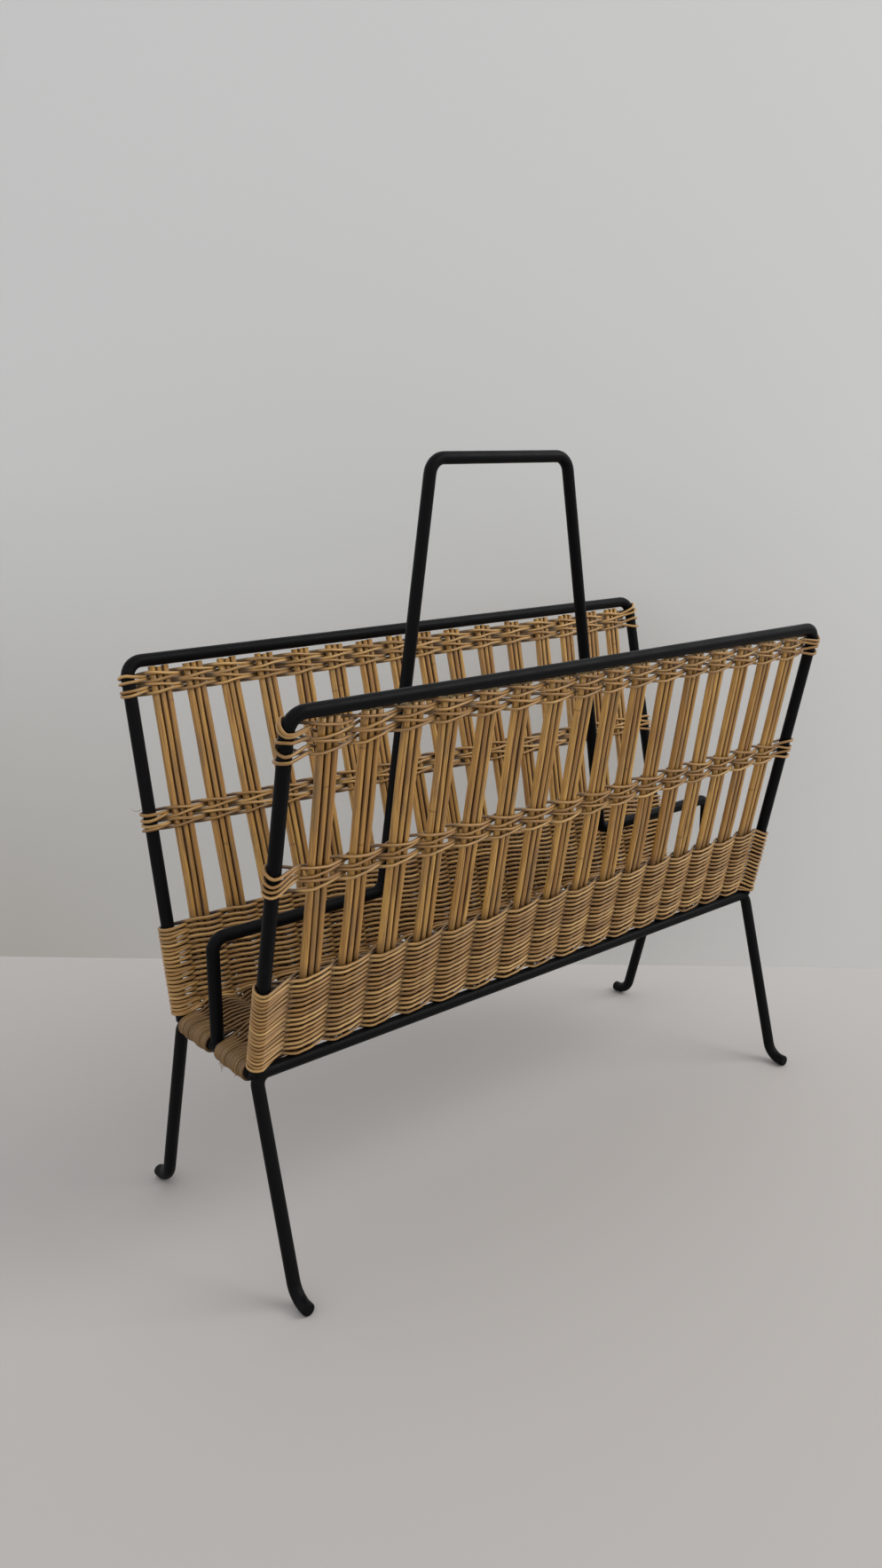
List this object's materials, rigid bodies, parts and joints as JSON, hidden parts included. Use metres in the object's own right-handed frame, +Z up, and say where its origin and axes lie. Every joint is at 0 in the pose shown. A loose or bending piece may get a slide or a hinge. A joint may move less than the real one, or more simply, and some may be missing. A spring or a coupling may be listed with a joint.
{
  "type": "magazine basket",
  "caption": "Two-pocket magazine basket: splayed woven rattan sides and floor on a welded black rod frame with splayed legs and a tall central carrying handle.",
  "frame": {"origin": "on the ground plane under the middle of the basket, the centre of the bounding box's bottom face", "axes": "+X to the right along the long pockets, +Y towards the rear pocket, -Y is the front seen in the picture, +Z up towards the handle"},
  "size_m": [0.4514, 0.1902, 0.4699],
  "materials": {
    "black_paint": "satin black paint on round steel rod, lightly worn",
    "reed": "golden rattan reed, clear coated, satin",
    "cane": "thin rattan cane, greyer brown, satin with pale glints"
  },
  "bodies": {
    "root": {"front_base_rod": "black_paint", "rear_base_rod": "black_paint", "left_end_rail": "black_paint", "right_end_rail": "black_paint", "front_side_frame": "black_paint", "rear_side_frame": "black_paint", "handle_divider": "black_paint", "stake_01": "reed", "stake_02": "reed", "stake_03": "reed", "stake_04": "reed", "stake_05": "reed", "stake_06": "reed", "stake_07": "reed", "stake_08": "reed", "stake_09": "reed", "stake_10": "reed", "stake_11": "reed", "stake_12": "reed", "stake_13": "reed", "stake_14": "reed", "stake_15": "reed", "stake_16": "reed", "front_top_band": "cane", "rear_top_band": "cane", "front_middle_band": "cane", "rear_middle_band": "cane", "front_lower_weave": "cane", "rear_lower_weave": "cane", "floor_weave": "cane"}
  },
  "joints": []
}
